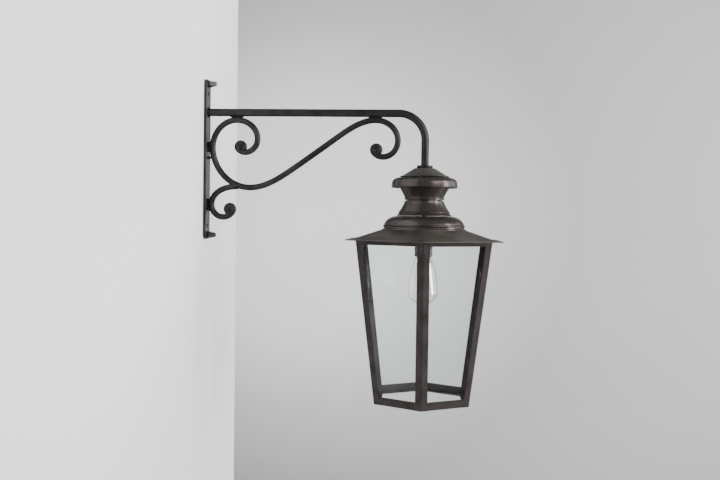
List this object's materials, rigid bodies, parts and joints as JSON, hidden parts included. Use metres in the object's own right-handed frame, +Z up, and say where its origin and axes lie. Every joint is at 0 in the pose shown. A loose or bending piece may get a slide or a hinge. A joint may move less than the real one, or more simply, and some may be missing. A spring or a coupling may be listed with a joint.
{
  "type": "outdoor wall light",
  "caption": "Outdoor wall light: six-sided glazed lantern with a clear filament bulb, hung from a pipe arm braced by rolled iron scrolls on a flat wall bar.",
  "frame": {"origin": "middle of the wall bar's back face, which lies on the wall", "axes": "+X out from the wall along the arm, +Z up, +Y to the left of someone facing out from the wall"},
  "size_m": [0.7042, 0.393, 0.7211],
  "materials": {
    "iron": "satin black paint on wrought iron bar and pipe",
    "zinc_steel": "dull zinc plate",
    "patina": "dark bronze patina on soldered sheet, satin with light wear",
    "pane_glass": "clear float glass, faintly green",
    "brass": "dull brass",
    "bakelite": "glossy black",
    "ceramic": "unglazed",
    "bulb_glass": "clear thin glass",
    "filament": "pale coated strips, not lit"
  },
  "bodies": {
    "bracket": {"wall_bar": "iron", "wall_stud_upper": "zinc_steel", "wall_washer_upper": "iron", "wall_nut_upper": "zinc_steel", "wall_stud_lower": "zinc_steel", "wall_washer_lower": "iron", "wall_nut_lower": "zinc_steel", "arm_pipe": "iron", "main_scroll": "iron", "lower_scroll": "iron", "scroll_pad_upper": "iron", "scroll_pad_lower": "iron", "pipe_reducer": "brass"},
    "lantern": {"hanging_rod": "zinc_steel", "collar_nut": "iron", "cap_cone": "patina", "cap_shoulder": "patina", "cap_rim": "patina", "cap_band": "patina", "cap_leg_1": "patina", "cap_leg_2": "patina", "cap_leg_3": "patina", "neck_upper": "patina", "neck_lower": "patina", "bell": "patina", "roof": "patina", "top_frame": "patina", "bottom_frame": "patina", "corner_post_1": "patina", "glass_pane_1": "pane_glass", "glass_clip_1": "patina", "corner_post_2": "patina", "glass_pane_2": "pane_glass", "glass_clip_2": "patina", "corner_post_3": "patina", "glass_pane_3": "pane_glass", "glass_clip_3": "patina", "corner_post_4": "patina", "glass_pane_4": "pane_glass", "glass_clip_4": "patina", "corner_post_5": "patina", "glass_pane_5": "pane_glass", "glass_clip_5": "patina", "corner_post_6": "patina", "glass_pane_6": "pane_glass", "glass_clip_6": "patina", "bridge_strap": "zinc_steel", "rod_nut_upper": "brass", "rod_nut_lower": "brass", "holder_top": "bakelite", "holder_skirt": "bakelite", "holder_insert": "ceramic", "holder_screw_shell": "brass"},
    "contact": {"holder_contact": "brass"},
    "bulb": {"bulb_cap": "brass", "bulb_glass": "bulb_glass", "bulb_filaments": "filament"}
  },
  "joints": [
    {"name": "lantern_swivel", "type": "hinge", "parent": "bracket", "child": "lantern", "pos_m": [0.5, 0, 0], "axis": [0, 0, 1], "range_deg": [-180, 180]},
    {"name": "bulb_travel", "type": "slide", "parent": "lantern", "child": "contact", "axis": [0, 0, -1], "range_m": [0, 0.0028]},
    {"name": "bulb_turn", "type": "hinge", "parent": "contact", "child": "bulb", "pos_m": [0.5, 0, -0.2], "axis": [0, 0, -1], "range_deg": [0, 270]}
  ],
  "couplings": [
    {"joint": "bulb_travel", "follows": "bulb_turn", "m_per_rad": 0.00057754}
  ]
}
